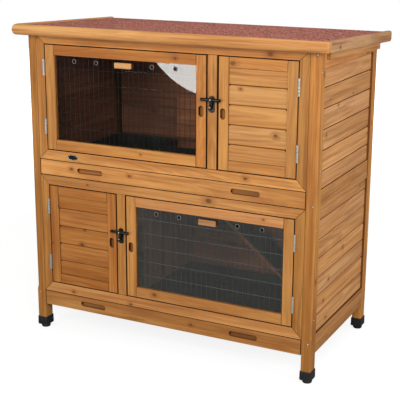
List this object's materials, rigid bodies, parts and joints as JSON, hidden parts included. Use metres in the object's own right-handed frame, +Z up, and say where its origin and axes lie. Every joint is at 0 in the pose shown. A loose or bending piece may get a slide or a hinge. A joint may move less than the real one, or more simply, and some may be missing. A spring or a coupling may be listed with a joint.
{
  "type": "rabbit hutch",
  "caption": "Two-storey wooden rabbit hutch with mesh window doors, panel doors, pull-out trays, an inside ramp and a felted roof.",
  "frame": {"origin": "on the floor, at the middle of the roof's plan", "axes": "+X to the right along the front, +Y from front to back, +Z up"},
  "size_m": [1.161, 0.648, 1.131],
  "materials": {
    "post_wood": "honey stained fir, satin",
    "frame_wood": "honey stained fir, satin",
    "door_wood": "honey stained fir, satin",
    "board_wood": "honey stained fir boards, satin",
    "trim_wood": "honey stained fir, satin",
    "back_wood": "stained fir boards, matt",
    "inner_wood": "stained fir and plywood, matt",
    "ramp_felt": "grit-faced felt on board",
    "roof_felt": "red-brown mineral roofing felt",
    "foot_rubber": "matt black cap",
    "tray_plastic": "satin black moulded tray",
    "wire_steel": "galvanised welded wire",
    "pane_acrylic": "clear acrylic",
    "latch_black": "gloss black with worn silver",
    "hinge_nickel": "bright nickel"
  },
  "bodies": {
    "cabinet": {"post_front_left": "post_wood", "post_front_right": "post_wood", "post_rear_left": "post_wood", "post_rear_right": "post_wood", "foot_cap_front_left": "foot_rubber", "foot_cap_front_right": "foot_rubber", "foot_cap_rear_left": "foot_rubber", "foot_cap_rear_right": "foot_rubber", "lower_left_hinge_1": "hinge_nickel", "lower_left_hinge_2": "hinge_nickel", "lower_right_hinge_1": "hinge_nickel", "lower_right_hinge_2": "hinge_nickel", "upper_left_hinge_1": "hinge_nickel", "upper_left_hinge_2": "hinge_nickel", "upper_right_hinge_1": "hinge_nickel", "upper_right_hinge_2": "hinge_nickel", "left_bottom_rail": "frame_wood", "left_lower_boards": "board_wood", "left_mid_rail": "frame_wood", "left_upper_boards": "board_wood", "left_top_rail": "frame_wood", "right_bottom_rail": "frame_wood", "right_lower_boards": "board_wood", "right_mid_rail": "frame_wood", "right_upper_boards": "board_wood", "right_top_rail": "frame_wood", "lower_front_frame": "frame_wood", "lower_back_panel": "back_wood", "lower_partition": "inner_wood", "lower_latch_plate": "latch_black", "upper_front_frame": "frame_wood", "upper_back_panel": "back_wood", "upper_partition": "inner_wood", "upper_latch_plate": "latch_black", "ramp": "ramp_felt", "badge": "latch_black", "roof_deck": "inner_wood", "roof_felt": "roof_felt", "roof_front_trim": "trim_wood", "roof_left_fascia": "trim_wood", "roof_right_fascia": "trim_wood"},
    "lower_window_door": {"lower_window_frame": "door_wood", "lower_window_mesh": "wire_steel"},
    "lower_window_glazing": {"lower_window_pane": "pane_acrylic", "lower_window_tab": "door_wood"},
    "lower_panel_door": {"lower_panel_frame": "door_wood", "lower_panel_boards": "board_wood"},
    "lower_drawer": {"lower_drawer_front": "frame_wood", "lower_tray": "tray_plastic"},
    "lower_latch": {"lower_latch_handle": "latch_black"},
    "upper_window_door": {"upper_window_frame": "door_wood", "upper_window_mesh": "wire_steel"},
    "upper_window_glazing": {"upper_window_pane": "pane_acrylic", "upper_window_tab": "door_wood"},
    "upper_panel_door": {"upper_panel_frame": "door_wood", "upper_panel_boards": "board_wood"},
    "upper_drawer": {"upper_drawer_front": "frame_wood", "upper_tray": "tray_plastic"},
    "upper_latch": {"upper_latch_handle": "latch_black"},
    "ramp_flap": {"ramp_hatch": "inner_wood"}
  },
  "joints": [
    {"name": "upper_window_door_hinge", "type": "hinge", "parent": "cabinet", "child": "upper_window_door", "pos_m": [-0.4755, -0.2884, 0.878], "axis": [0, 0, -1], "range_deg": [0, 110]},
    {"name": "upper_panel_door_hinge", "type": "hinge", "parent": "cabinet", "child": "upper_panel_door", "pos_m": [0.4755, -0.2884, 0.878], "axis": [0, 0, 1], "range_deg": [0, 110]},
    {"name": "lower_panel_door_hinge", "type": "hinge", "parent": "cabinet", "child": "lower_panel_door", "pos_m": [-0.4755, -0.2884, 0.377], "axis": [0, 0, -1], "range_deg": [0, 110]},
    {"name": "lower_window_door_hinge", "type": "hinge", "parent": "cabinet", "child": "lower_window_door", "pos_m": [0.4755, -0.2884, 0.377], "axis": [0, 0, 1], "range_deg": [0, 110]},
    {"name": "upper_latch_turn", "type": "hinge", "parent": "cabinet", "child": "upper_latch", "pos_m": [0.177, -0.296, 0.9225], "axis": [0, 1, 0], "range_deg": [-90, 90]},
    {"name": "lower_latch_turn", "type": "hinge", "parent": "cabinet", "child": "lower_latch", "pos_m": [-0.1735, -0.296, 0.4285], "axis": [0, 1, 0], "range_deg": [-90, 90]},
    {"name": "upper_drawer_slide", "type": "slide", "parent": "cabinet", "child": "upper_drawer", "axis": [0, -1, 0], "range_m": [0, 0.45]},
    {"name": "lower_drawer_slide", "type": "slide", "parent": "cabinet", "child": "lower_drawer", "axis": [0, -1, 0], "range_m": [0, 0.45]},
    {"name": "upper_window_lift", "type": "slide", "parent": "upper_window_door", "child": "upper_window_glazing", "axis": [0, 0, 1], "range_m": [0, 0.008]},
    {"name": "lower_window_lift", "type": "slide", "parent": "lower_window_door", "child": "lower_window_glazing", "axis": [0, 0, 1], "range_m": [0, 0.008]},
    {"name": "ramp_hatch_hinge", "type": "hinge", "parent": "cabinet", "child": "ramp_flap", "pos_m": [-0.105, 0.273, 0.656], "axis": [1, 0, 0], "range_deg": [0, 90]}
  ]
}
